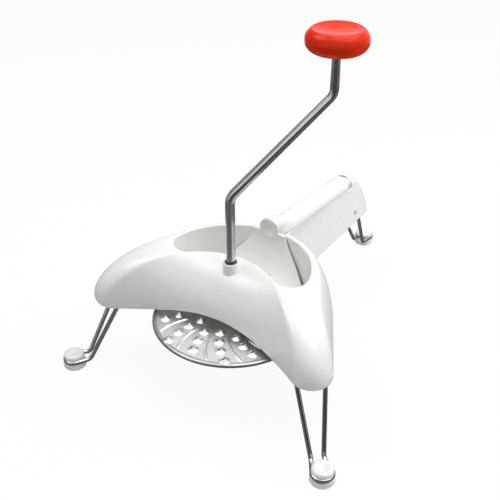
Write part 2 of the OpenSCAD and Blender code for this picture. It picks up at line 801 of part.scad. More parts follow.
module foot_cap() {
    dimple_r = 12;
    dimple = 1;
    color("white") difference() {
        union() {
            translate([0, 0, spigot_z]) cylinder(r = spigot_r, h = cap_z - spigot_z + 1);
            translate([0, 0, foot_pad_h]) cylinder(d = stem_d, h = cap_z - foot_pad_h + 1);
            translate([0, 0, cap_z]) rotate_extrude() polygon(concat(
                [[0, 0], [cap_d / 2, 0], [cap_d / 2, cap_h * 0.4]],
                [for (a = [10 : 10 : 80]) [cap_d / 2 - 3 + 3 * cos(a), cap_h * (0.4 + 0.6 * sin(a))]],
                [[cap_d / 2 - 3, cap_h], [0, cap_h]]
            ));
        }
        translate([0, 0, cap_z + cap_h + dimple_r - dimple]) sphere(dimple_r);
    }
}

module foot_pad() {
    edge = 1.2;
    color("white") rotate_extrude() difference() {
        polygon([
            [0, 0], [pad_d / 2 - edge, 0], [pad_d / 2 - 0.3 * edge, 0.3 * edge], [pad_d / 2, edge],
            [pad_d / 2, foot_pad_h - edge], [pad_d / 2 - 0.3 * edge, foot_pad_h - 0.3 * edge],
            [pad_d / 2 - edge, foot_pad_h], [0, foot_pad_h]
        ]);
        translate([0, spigot_z]) square([spigot_r, foot_pad_h]);
    }
}

module foot_cap_left() {
    at_front_foot(-1) foot_cap();
}

module foot_cap_right() {
    at_front_foot(1) foot_cap();
}

module foot_cap_rear() {
    at_rear_foot() foot_cap();
}

module foot_pad_left() {
    at_front_foot(-1) foot_pad();
}

module foot_pad_right() {
    at_front_foot(1) foot_pad();
}

module foot_pad_rear() {
    at_rear_foot() foot_pad();
}

body_shell();
hub_bush();
crank_rod();
crank_collar();
drive_pin();
disc_plate();
disc_hub();
disc_rivets();
disc_clip();
knob_shell();
knob_base();
knob_retainer();
pusher();
hinge_pin();
leg_left();
leg_right();
leg_rear();
foot_cap_left();
foot_cap_right();
foot_cap_rear();
foot_pad_left();
foot_pad_right();
foot_pad_rear();
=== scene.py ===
import bpy, bmesh, json, math
from mathutils import Matrix, Vector
from mathutils.kdtree import KDTree


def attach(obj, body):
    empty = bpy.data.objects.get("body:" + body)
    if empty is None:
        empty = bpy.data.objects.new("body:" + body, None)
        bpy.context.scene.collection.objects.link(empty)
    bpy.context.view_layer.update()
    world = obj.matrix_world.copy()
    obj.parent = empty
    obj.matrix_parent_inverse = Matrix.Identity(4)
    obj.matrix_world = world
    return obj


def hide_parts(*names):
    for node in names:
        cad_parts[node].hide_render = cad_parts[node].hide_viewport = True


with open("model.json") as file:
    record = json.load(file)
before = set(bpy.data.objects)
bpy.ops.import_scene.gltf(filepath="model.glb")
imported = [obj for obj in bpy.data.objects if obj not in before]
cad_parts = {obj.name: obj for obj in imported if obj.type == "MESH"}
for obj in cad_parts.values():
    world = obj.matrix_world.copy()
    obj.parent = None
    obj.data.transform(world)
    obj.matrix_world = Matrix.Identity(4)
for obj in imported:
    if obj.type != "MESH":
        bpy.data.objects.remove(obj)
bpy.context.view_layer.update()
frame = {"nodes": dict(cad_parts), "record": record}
scene = bpy.context.scene
scene.view_settings.view_transform = "Standard"
print("frame loaded,", len(frame["nodes"]), "nodes")

mm = 0.001
crankY = -103.67135  # the crank axis in the frame; pieces are drawn in mm from that axis
mergeGap = 0.004  # mm, vertices closer than this become one
noiseRange = {"From Min": 0.3, "From Max": 0.7}  # where most of a noise's values lie


def linear(hexColour):
    channels = [int(hexColour[i:i + 2], 16) / 255 for i in (1, 3, 5)]
    return (*[c / 12.92 if c <= 0.04045 else ((c + 0.055) / 1.055) ** 2.4 for c in channels], 1)


def addNode(tree, kind, settings={}, links={}):
    node = tree.nodes.new(kind)
    for key, value in settings.items():
        if isinstance(key, int) or key in node.inputs:
            node.inputs[key].default_value = value
        else:
            setattr(node, key, value)
    for key, source in links.items():
        tree.links.new(source, node.inputs[key])
    return node


def newMaterial(name):
    mat = bpy.data.materials.new(name)
    mat.use_nodes = True
    tree = mat.node_tree
    place = addNode(tree, "ShaderNodeTexCoord").outputs["Object"]
    return mat, tree, tree.nodes["Principled BSDF"], place


def joinFinish(tree, bsdf, look, drift, wear, bump):
    # colour drifts between two shades, and roughness between two values
    tint = addNode(tree, "ShaderNodeMix",
                   {"data_type": "RGBA", 6: linear(look["colour"]), 7: linear(look["shade"])},
                   {0: drift.outputs["Fac"]})
    # faces marked inside are mixed towards the dark hole colour: painted shade on the holes' walls, and a
    # darker grey on the rolled edge
    if "hole" in look:
        inside = addNode(tree, "ShaderNodeAttribute", {"attribute_name": "inside"})
        tint = addNode(tree, "ShaderNodeMix", {"data_type": "RGBA", 7: linear(look["hole"])},
                       {0: inside.outputs["Fac"], 6: tint.outputs[2]})
    rough = addNode(tree, "ShaderNodeMapRange",
                    {**noiseRange, "To Min": look["rough"][0], "To Max": look["rough"][1]},
                    {"Value": wear.outputs["Fac"]})
    tree.links.new(tint.outputs[2], bsdf.inputs["Base Color"])
    tree.links.new(rough.outputs["Result"], bsdf.inputs["Roughness"])
    tree.links.new(bump.outputs["Normal"], bsdf.inputs["Normal"])


def perMm(size):
    return 1000 / size  # noise scale for features of that size in mm


# Glossy moulded ABS: even colour, soft wide highlights, faint waviness where the wall cooled
whiteAbs = {"colour": "#F0F0EE", "shade": "#EEEEEC", "rough": (0.26, 0.29), "gloss": 0.5,
            "wave": 14, "grain": 0.9}
# ABS, pigmented and polished: a deep colour with a small clear highlight
redAbs = {"colour": "#E02E08", "shade": "#D42406", "rough": (0.12, 0.2), "gloss": 0.15,
          "wave": 9, "grain": 0.8}
# Turned natural acetal: milky and waxy, with a fine tool finish
turnedAcetal = {"colour": "#E4E3DC", "shade": "#DAD9D1", "rough": (0.35, 0.5), "gloss": 0.5,
                "wave": 3, "grain": 0.5}
# Moulded dark nylon: near black and dull; on the thrust ring the near black also stands for painted shadow,
# the dark line round the rod at the hub's top
darkNylonAndShadow = {"colour": "#3A3B3D", "shade": "#2E2F31", "rough": (0.35, 0.5), "gloss": 0.5,
             "wave": 3, "grain": 0.5}
# What the plastics share: drift of the colour in mm, and the bumps, with their depth in metres
plasticSurface = {"cloud": 40, "ior": 1.53, "swell": {"Strength": 0.002, "Distance": 0.0004},
                  "grain": {"Strength": 0.015, "Distance": 0.00005}}


def makePlastic(name, look, surface):
    mat, tree, bsdf, place = newMaterial(name)
    at = {"Vector": place}
    cloud = addNode(tree, "ShaderNodeTexNoise", {"Scale": perMm(surface["cloud"]), "Detail": 2.0}, at)
    grain = addNode(tree, "ShaderNodeTexNoise", {"Scale": perMm(look["grain"]), "Detail": 3.0}, at)
    wave = addNode(tree, "ShaderNodeTexNoise", {"Scale": perMm(look["wave"]), "Detail": 1.0}, at)
    swell = addNode(tree, "ShaderNodeBump", surface["swell"], {"Height": wave.outputs["Fac"]})
    bump = addNode(tree, "ShaderNodeBump", surface["grain"],
                   {"Height": grain.outputs["Fac"], "Normal": swell.outputs["Normal"]})
    joinFinish(tree, bsdf, look, cloud, wave, bump)
    bsdf.inputs["IOR"].default_value = surface["ior"]
    bsdf.inputs["Specular IOR Level"].default_value = look["gloss"]
    return mat


# Drawn and chromed steel: near mirror, with faint draw marks and dull specks
chromedSteel = {"colour": "#D4D5D6", "shade": "#BFC1C3", "rough": (0.19, 0.23), "mark": 2.5}
# Zinc plated steel: greyer and duller than chrome
platedSteel = {"colour": "#A9ABAD", "shade": "#97999C", "rough": (0.25, 0.4), "mark": 1.5}
# Stamped stainless sheet: rolling grain that spreads the reflections, painted shade on the punched holes'
# walls, and a darker grey painted on the rolled edge
stainlessSheet = {"colour": "#E8E8E6", "shade": "#DCDDDC", "hole": "#3A3A38",
                  "rough": (0.26, 0.42), "mark": 1.2, "stretch": (0.12, 1.6, 1.6)}
# What the steels share: size of the stains in mm, and the marks' bump, with its depth in metres
steelSurface = {"stain": 14, "mark": {"Strength": 0.06, "Distance": 0.00005}}


def makeSteel(name, look, surface):
    mat, tree, bsdf, place = newMaterial(name)
    turned = addNode(tree, "ShaderNodeMapping", {"Scale": look.get("stretch", (1, 1, 1))}, {"Vector": place})
    mark = addNode(tree, "ShaderNodeTexNoise", {"Scale": perMm(look["mark"]), "Detail": 4.0},
                   {"Vector": turned.outputs[0]})
    stain = addNode(tree, "ShaderNodeTexNoise", {"Scale": perMm(surface["stain"]), "Detail": 2.0},
                    {"Vector": place})
    bump = addNode(tree, "ShaderNodeBump", surface["mark"], {"Height": mark.outputs["Fac"]})
    joinFinish(tree, bsdf, look, stain, mark, bump)
    bsdf.inputs["Metallic"].default_value = 1
    return mat


finishes = {"white_plastic": makePlastic("white ABS, moulded", whiteAbs, plasticSurface),
            "red_plastic": makePlastic("red ABS, moulded", redAbs, plasticSurface),
            "bearing_plastic": makePlastic("natural acetal, turned", turnedAcetal, plasticSurface),
            "dark_plastic": makePlastic("dark nylon, moulded", darkNylonAndShadow, plasticSurface),
            "chrome_steel": makeSteel("chromed steel, drawn", chromedSteel, steelSurface),
            "pin_steel": makeSteel("zinc plated steel", platedSteel, steelSurface),
            "stainless_sheet": makeSteel("stainless steel sheet, stamped", stainlessSheet, steelSurface)}
for part in frame["record"]["subparts"]:
    obj = frame["nodes"][part["node"]]
    obj.data.materials.clear()
    obj.data.materials.append(finishes[part["material_slot"]])
print("finishes made")


def cosd(angle):
    return math.cos(math.radians(angle))


def sind(angle):
    return math.sin(math.radians(angle))


def degrees(y, x):
    return math.degrees(math.atan2(y, x))


def mix(a, b, t):
    return a + (b - a) * t


def turnZ(angle):
    return Matrix.Rotation(math.radians(angle), 4, "Z")


def ballRadius(edge, depth):
    return (edge ** 2 + depth ** 2) / (2 * depth)  # of the ball that presses a dish so wide and deep


def addChain(bm, places):
    # vertices in a row, with edges between them
    verts = [bm.verts.new(p) for p in places]
    return verts, [bm.edges.new(pair) for pair in zip(verts, verts[1:])]


def freshRow(geom):
    # the vertices in an operator's result, and the edges that join them
    verts = [g for g in geom if isinstance(g, bmesh.types.BMVert)]
    among = set(verts)
    return verts, [g for g in geom if isinstance(g, bmesh.types.BMEdge) and set(g.verts) <= among]


def spinChain(start, moves):
    # the places that one vertex passes, on arcs (centre, degrees, steps) and lines (way, steps)
    bm = bmesh.new()
    last = bm.verts.new((*start, 0))
    for *move, steps in moves:
        if len(move) == 2:
            centre, turn = move
            out = bmesh.ops.spin(bm, geom=[last], cent=(*centre, 0), axis=(0, 0, 1),
                                 angle=math.radians(turn), steps=steps)
            last = freshRow(out["geom_last"])[0][0]
        else:
            for k in range(steps):
                last = bmesh.ops.extrude_vert_indiv(bm, verts=[last])["verts"][0]
                bmesh.ops.translate(bm, vec=(Vector(move[0]) / steps).to_3d(), verts=[last])
    bm.verts.ensure_lookup_table()
    places = [v.co.xy.copy() for v in bm.verts]
    bm.free()
    return places


def loft(bm, rows):
    # an open chain of vertices, extruded from row to row; all rows have as many places
    station = bm.verts.layers.int.get("station") or bm.verts.layers.int.new("station")
    verts, edges = addChain(bm, rows[0])
    for i, v in enumerate(verts):
        v[station] = i
    for row in rows[1:]:
        verts, edges = freshRow(bmesh.ops.extrude_edge_only(bm, edges=edges)["geom"])
        for v in verts:
            v.co = row[v[station]]


def roundCorner(centre, radius, start, end, steps):
    # points on a rounded edge of a profile
    angles = [mix(start, end, k / steps) for k in range(steps + 1)]
    return [(centre[0] + radius * cosd(a), centre[1] + radius * sind(a)) for a in angles]


def turnProfile(profile, steps, centre=(0, 0)):
    # (radius, height) points, swept once round a vertical axis
    bm = bmesh.new()
    verts, edges = addChain(bm, [(centre[0] + r, centre[1], z) for r, z in profile])
    bmesh.ops.spin(bm, geom=verts + edges, cent=(*centre, 0), axis=(0, 0, 1), angle=math.tau, steps=steps,
                   use_merge=True)
    bmesh.ops.remove_doubles(bm, verts=bm.verts, dist=mergeGap)
    return bm


def cleanUp(bm, speck=0.001):
    bmesh.ops.remove_doubles(bm, verts=bm.verts, dist=mergeGap)
    bmesh.ops.dissolve_degenerate(bm, dist=speck, edges=bm.edges)


def mirrorX(bm):
    bmesh.ops.mirror(bm, geom=bm.verts[:] + bm.edges[:] + bm.faces[:], axis="X", merge_dist=0.01)


def breakEdges(bm, edges, size):
    bmesh.ops.bevel(bm, geom=edges, offset=size, affect="EDGES", segments=2, profile=0.5, material=-1)


def addCylinder(bm, radius, depth, matrix, segments=32):
    bmesh.ops.create_cone(bm, cap_ends=True, segments=segments, radius1=radius, radius2=radius, depth=depth,
                          matrix=matrix)


def addBlock(bm, low, high, place, edge=0.4):
    # a block between two corners, with its edges broken, put in its place
    fresh = bmesh.ops.create_cube(bm, size=1)["verts"]
    size, middle = Vector(high) - Vector(low), (Vector(high) + Vector(low)) / 2
    bmesh.ops.scale(bm, vec=size, verts=fresh)
    bmesh.ops.transform(bm, matrix=place @ Matrix.Translation(middle), verts=fresh)
    breakEdges(bm, list({e for v in fresh for e in v.link_edges}), edge)


def addCopy(bm, source, matrix=Matrix()):
    mesh = bpy.data.meshes.new("copy")
    source.to_mesh(mesh)
    mesh.transform(matrix)
    bm.from_mesh(mesh)
    bpy.data.meshes.remove(mesh)


def addObject(name, data):
    obj = bpy.data.objects.new(name, data)
    scene.collection.objects.link(obj)
    return obj


def addMesh(name, bm):
    mesh = bpy.data.meshes.new(name)
    bm.to_mesh(mesh)
    bm.free()
    return addObject(name, mesh)


def toFrame(bm):
    # from mm round the crank axis to metres in the frame
    bmesh.ops.scale(bm, vec=(mm, mm, mm), verts=bm.verts)
    bmesh.ops.translate(bm, vec=(0, crankY * mm, 0), verts=bm.verts)


def markSharp(bm, sharp):
    for e in bm.edges:
        e.smooth = len(e.link_faces) != 2 or e.calc_face_angle(0) < math.radians(sharp)


def addSmooth(obj, levels):
    sub = obj.modifiers.new("smooth", "SUBSURF")
    sub.levels = sub.render_levels = levels


def addWall(obj, thickness, levels):
    wall = obj.modifiers.new("wall", "SOLIDIFY")
    wall.thickness, wall.offset = thickness * mm, -1
    addSmooth(obj, levels)


def finishPiece(bm, name, body, slotName, nodes, sharp=40, outward=True):
    # a named piece that rides on its body
    bmesh.ops.remove_doubles(bm, verts=bm.verts, dist=mergeGap)
    if outward:
        bmesh.ops.recalc_face_normals(bm, faces=bm.faces)
    toFrame(bm)
    for f in bm.faces:
        f.smooth = True
    markSharp(bm, sharp)
    obj = addMesh(name, bm)
    obj.data.materials.append(finishes[slotName])
    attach(obj, body)
    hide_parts(*nodes)
    return obj


def takeOut(obj, cutter):
    # the mesh that is left of an object, without the cutter
    cut = obj.modifiers.new("cut", "BOOLEAN")
    cut.object, cut.operation, cut.solver = cutter, "DIFFERENCE", "EXACT"
    left = bpy.data.meshes.new_from_object(obj.evaluated_get(bpy.context.evaluated_depsgraph_get()))
    bpy.data.objects.remove(cutter)
    return left


def cutAway(obj, tool, sharp=40):
    # takes a shape, drawn in mm like the pieces, out of a finished piece
    toFrame(tool)
    left = takeOut(obj, addMesh("cut", tool))
    obj.modifiers.clear()
    bm = bmesh.new()
    bm.from_mesh(left)
    markSharp(bm, sharp)
    bm.to_mesh(left)
    bm.free()
    obj.data = left


# Seam between the handle and the lever: the hinge's place (y, z), and how steeply the seam falls towards it
seamShape = {"hinge": (203, 104.5), "tilt": 4.8}


def seamHeight(y):
    hingeY, hingeZ = seamShape["hinge"]
    return hingeZ + (hingeY - y) * math.tan(math.radians(seamShape["tilt"]))


# Body: a half-moon hopper whose skin falls outwards to a skirt with two front lobes
bodyShape = {"rim": 120, "floor": 71.9, "hopperRadius": 68, "crestY": 15, "crestRadius": 62,
             "cornerRadius": 16, "skirt": 70, "archRise": 8, "archY": -25, "archShare": 0.8,
             "lobe": (101, -38), "lobeRadius": 17, "flankY": -8, "flankRadius": 92, "tuck": 10,
             "frontFall": 0.35, "flankFall": 0.75, "flankTuck": 7, "flankTurn": 18, "flankNarrow": 1.5,
             "wall": 2.4, "rimRound": 1.5, "edge": 0.5, "hem": 0.6,
             "floorLoop": 3, "rimLoop": 5, "innerLoop": 4,
             "seatHalf": 11.8, "seatEdge": 0.3, "seatFrom": 60, "seatTop": 117, "seatGap": 0.05,
             "frontSteps": 12, "tipSteps": 14, "sideSteps": 5, "backSteps": 15, "skinSteps": 14}


def bodyOutlines(s):
    crestC = s["crestY"] - s["crestRadius"]
    out = s["hopperRadius"] - s["cornerRadius"]
    cornerY = ((s["crestRadius"] + s["cornerRadius"]) ** 2 - out ** 2 - crestC ** 2) / (-2 * crestC)
    cornerX = math.sqrt(out ** 2 - cornerY ** 2)
    crestEnd, cornerEnd = degrees(cornerY - crestC, cornerX), degrees(cornerY, cornerX)
    mouth = spinChain((0, s["crestY"]), [
        ((0, crestC), crestEnd - 90, s["frontSteps"]),
        ((cornerX, cornerY), cornerEnd - crestEnd + 180, s["tipSteps"]),
        ((0, 0), 90 - cornerEnd, s["sideSteps"] + s["backSteps"])])
    (lx, ly), r = s["lobe"], s["lobeRadius"]
    dip = ly - s["archY"]
    archRadius = (lx ** 2 + dip ** 2 - r ** 2) / (2 * (r - dip))
    archC = s["archY"] - archRadius
    archEnd = degrees(ly - archC, lx)
    far = Vector((lx, ly - s["flankY"])).length
    flank = degrees(ly - s["flankY"], lx) + math.degrees(math.acos((s["flankRadius"] - r) / far))
    way = Vector((cosd(flank), sind(flank)))
    side = Vector((0, s["flankY"])) + way * s["flankRadius"] - Vector((lx, ly)) - way * r
    skirt = spinChain((0, s["archY"]), [
        ((0, archC), archEnd - 90, s["frontSteps"]),
        ((lx, ly), flank - archEnd + 180, s["tipSteps"]),
        (side, s["sideSteps"]),
        ((0, s["flankY"]), 90 - flank, s["backSteps"])])
    return mouth, skirt


def bodyProfile(s, run, low, fall, tuck):
    # one station: up the hopper's wall, over the rim, down the skin, and back up inside
    last = math.radians(90 + tuck)

    def skin(far, near, top):
        for k in range(s["skinSteps"] + 1):
            a = last * k / s["skinSteps"]
            left = max(0, (math.cos(a) - math.cos(last)) / (1 - math.cos(last)))
            yield near + (far - near) * math.sin(a) / math.sin(last), low + (top - low) * left ** fall
    w, r, rim, floor = s["wall"], s["rimRound"], s["rim"], s["floor"]
    e, hem, floorLoop = s["edge"], low + s["hem"], floor + s["floorLoop"]
    half = 0.5 * (floor + rim)
    outer, inner = list(skin(run, r, rim)), list(skin(run - w, w, rim - w))
    return [(0, floor + e), (0, floorLoop), (0, half), (0, rim - s["rimLoop"]), (0, rim - r),
            (0.3 * r, rim - 0.3 * r), *outer[:-1],
            (run - 0.02, hem), (run - e, low), (run - w + e, low), (run - w, hem),
            *inner[-2::-1], (w, rim - w - s["innerLoop"]), (w, half), (w, floorLoop), (w, floor + e),
            (w - e, floor), (e, floor)]


def makeBody(s):
    mouth, skirt = bodyOutlines(s)
    columns = []
    for m, k in zip(mouth, skirt):
        arch = 0 if k.y > 0 else max(0, 1 - (k.x / (s["archShare"] * s["lobe"][0])) ** 2) ** 2
        # the flank falls straighter than the front, and turns in more at its foot
        aside = degrees(k.y - s["flankY"], k.x) - s["flankTurn"]
        flank = max(0, cosd(s["flankNarrow"] * aside)) ** 2
        run, way = (k - m).length, (k - m).normalized()
        profile = bodyProfile(s, run, s["skirt"] + s["archRise"] * arch,
                              1 + s["frontFall"] * arch + s["flankFall"] * flank,
                              s["tuck"] + s["flankTuck"] * flank)
        columns.append([(*(m + way * d), z) for d, z in profile])
    rows = [list(row) for row in zip(*columns)]
    bm = bmesh.new()
    loft(bm, rows + rows[:1])
    bmesh.ops.remove_doubles(bm, verts=bm.verts, dist=mergeGap)
    mirrorX(bm)
    # the rim is cut down where the lever lies in it
    half, e = s["seatHalf"], s["seatEdge"]
    for x in (-half - e, e - half, half - e, half + e):
        back = [f for f in bm.faces if f.calc_center_median().y > s["seatFrom"]]
        near = {g for f in back for g in (*f.verts, *f.edges, f)}
        bmesh.ops.bisect_plane(bm, geom=list(near), plane_co=(x, 0, 0), plane_no=(1, 0, 0), dist=0.0005)
    for v in bm.verts:
        if abs(v.co.x) < half and v.co.y > s["seatFrom"]:
            v.co.z = min(v.co.z, seamHeight(v.co.y) - (s["seatGap"] if v.co.z > s["seatTop"] else s["wall"]))
    obj = finishPiece(bm, "bodySkin", "body", "white_plastic", ["body_shell"])
    addSmooth(obj, 1)


makeBody(bodyShape)
print("body made")

# Handle: a tapered trough under the lever, closed behind it by a rounded block
handleShape = {"bottom": 67.5, "halfWidth": 20, "topHalf": 11, "wall": 2.4, "crease": 0.75, "creaseAngle": 40,
               "front": 70.6, "block": 210.6, "end": 247, "endPower": 1.5, "endDepth": 0.8, "dome": 10.7,
               "stations": (72, 78, 90, 105, 125, 145, 165, 182, 192, 196.2, 196.95, 198.2, 200.4, 203, 205.6,
                            207.8, 209.05, 209.7),
               "levels": (0, 0.012, 0.06, 0.2, 0.4, 0.6, 0.8, 0.92, 0.985, 1),
               "domeAngles": (8, 18, 30, 42, 54, 66, 78, 86, 90),
               "hingeRise": 4, "troughRadius": 7.6, "troughHalf": 9.9, "troughEdge": 0.35, "bedHalf": 10.6,
               "pivot": (208, 76), "pivotBore": 2.8, "boreRun": 60}


def makeHandle(s):
    blockZ = seamHeight(s["block"])
    straight = [s["front"], *s["stations"], s["block"]]
    turn = len(straight) - 1  # the station where the block starts

    def chain(height, half):
        # one level of the outside, from the hopper along the side and round the end
        places = [(half(height(y)), y, height(y)) for y in straight]
        z = height(s["block"])
        w = half(z)
        a = math.asin(min(1, (z - s["bottom"]) / (blockZ + s["dome"] - s["bottom"])))
        reach = (s["end"] - s["block"]) * math.cos(a) ** s["endPower"]
        deep = min(w, s["endDepth"] * reach)
        centre = s["block"] + reach - deep
        places += [(w, mix(s["block"], centre, t), z) for t in (0.35, 0.7, 1)]
        places += [(w * cosd(t), centre + deep * sind(t), z) for t in range(10, 91, 10)]
        return places

    def side(z):
        return mix(s["halfWidth"], s["topHalf"], min(1, (z - s["bottom"]) / (blockZ - s["bottom"])))

    def trough(y):
        reach = s["troughRadius"] ** 2 - (y - seamShape["hinge"][0]) ** 2
        return max(0, math.sqrt(reach) - s["hingeRise"]) if reach > 0 else 0
    bm = bmesh.new()
    walls = [chain(lambda y: mix(s["bottom"], seamHeight(min(y, s["block"])), t), side) for t in s["levels"]]
    loft(bm, walls)
    # flat bed under the lever, with the trough that the lever's end turns in
    bed = walls[-1][:turn + 1]
    rows = [bed]
    half = s["troughHalf"]
    for x, deep in ((s["bedHalf"], 0), (half + s["troughEdge"], 0), (half, 1), (5, 1), (0, 1)):
        rows.append([(x, y, z - deep * trough(y)) for _, y, z in bed])
    loft(bm, rows)
    # rounded block behind the lever and its flat front
    block = [walls[-1][turn:]]
    for a in s["domeAngles"]:
        z, w = blockZ + s["dome"] * sind(a), s["topHalf"] * cosd(a)
        block.append(chain(lambda y: z, lambda height: w)[turn:])
    loft(bm, block)
    loft(bm, [[(x, y, z), (0, y, z)] for x, y, z in (row[0] for row in block)])
    cleanUp(bm)
    mirrorX(bm)
    crease = bm.edges.layers.float.new("crease_edge")
    for e in bm.edges:
        if len(e.link_faces) == 2 and e.calc_face_angle(0) > math.radians(s["creaseAngle"]):
            e[crease] = s["crease"]
    obj = finishPiece(bm, "handle", "body", "white_plastic", ["body_shell"], sharp=60)
    addWall(obj, s["wall"], 1)
    tool = bmesh.new()
    addCylinder(tool, s["pivotBore"], s["boreRun"],
                Matrix.Translation((0, *s["pivot"])) @ Matrix.Rotation(math.pi / 2, 4, "Y"))
    cutAway(obj, tool)


makeHandle(handleShape)

# Hub boss that carries the crank: a turned form with a soft top edge and a bore for the bearing sleeve
bossShape = {"foot": 83.9, "top": 123, "footRadius": 9, "topRadius": 6.8, "round": 1.1,
             "bore": 5.37, "edge": 0.3, "steps": 64}


def makeBoss(s):
    bore, foot, top, e = s["bore"], s["foot"], s["top"], s["edge"]
    middle = (mix(s["footRadius"], s["topRadius"], 0.5), mix(foot, top, 0.5))
    profile = [(bore, foot), (s["footRadius"], foot), middle]
    profile += roundCorner((s["topRadius"] - s["round"], top - s["round"]), s["round"], 0, 90, 6)
    profile += [(bore + e, top), (bore, top - e), (bore, foot)]
    finishPiece(turnProfile(profile, s["steps"]), "hubBoss", "body", "white_plastic", ["body_shell"])


makeBoss(bossShape)

# Ribs and lugs inside the moulding: web behind the hub, hinge lug in the handle, pivot lugs in the lobes
insideShape = {"webHalf": 2, "webTop": 117.6, "webFrom": 6, "webEnd": 13.8,
               "lugHalf": 3.5, "lugRadius": 3.4, "lugRise": 4, "lugFoot": 9, "ribHalf": 11.9, "ribThick": 2,
               "pivot": (101, -38, 78), "pivotTurn": 45.8, "pivotBack": 5,
               "blockHalf": (4.5, 8), "blockTop": 7, "footHalf": 4, "footEnd": 20.2, "footTop": -0.5}


def makeInsides(s, boss):
    bm = bmesh.new()
    web = s["webHalf"]
    addBlock(bm, (-web, s["webFrom"], boss["foot"]), (web, s["webEnd"], s["webTop"]), Matrix())
    tilt = Matrix.Rotation(math.radians(-seamShape["tilt"]), 4, "X")
    seam = Matrix.Translation((0, *seamShape["hinge"])) @ tilt
    r, foot = s["lugRadius"], s["lugFoot"]
    addBlock(bm, (-s["lugHalf"], -r, -foot), (s["lugHalf"], r, s["lugRise"]), seam)
    addBlock(bm, (-s["ribHalf"], -r, -foot), (s["ribHalf"], r, s["ribThick"] - foot), seam)
    addCylinder(bm, r, 2 * s["lugHalf"],
                seam @ Matrix.Translation((0, 0, s["lugRise"])) @ Matrix.Rotation(math.pi / 2, 4, "Y"))
    (halfX, halfY), (x, y, z) = s["blockHalf"], s["pivot"]
    back = Matrix.Translation((-s["pivotBack"], 0, 0))
    for side, turn in ((1, -s["pivotTurn"]), (-1, 180 + s["pivotTurn"])):
        place = Matrix.Translation((side * x, y, z)) @ turnZ(turn) @ back
        addBlock(bm, (-halfX, -halfY, -halfX), (halfX, halfY, s["blockTop"]), place)
        addBlock(bm, (0, -s["footHalf"], -halfX), (s["footEnd"], s["footHalf"], s["footTop"]), place)
    finishPiece(bm, "bodyRibs", "body", "white_plastic", ["body_shell"])


makeInsides(insideShape, bossShape)
print("handle and hub made")

# Pusher: a half-round lever with a scooped finger tab in front and a curled presser under it
leverShape = {"radius": 11, "seat": 0.3, "wall": 2.4,
              "angles": (1.5, 6, 14, 24, 34, 44, 52, 56.4, 59, 66, 74, 82, 90),
              "tabY": 61.3, "tabThick": 4, "tabZ": 125.5, "tabRadius": 9.8,
              "scoopRadius": 8.3, "scoopDepth": 2.6, "scoopSteps": (0, 0.28, 0.55, 0.8, 0.955, 1),
              "blend": 91.3, "blendEase": 0.18, "blendFrom": 20, "blendSpan": 55, "blendRise": 2.18,
              "blendSteps": (0.12, 0.25, 0.4, 0.55, 0.7, 0.85),
              "pad": 0.6, "padHalf": 6, "padFrom": -91.7, "padTo": -24, "padStep": 0.5,
              "frontRow": -100, "padRows": (-80, -60, -40), "backRows": (-16, -8, -2, -0.3),
              "crownRadius": 6.8, "crownRise": 4, "crownHalf": 8.7, "crownSteps": (0.3, 0.7, 0.94, 1),
              "slotHalf": 4.1, "slotTop": 7.8, "slotFrom": 2}


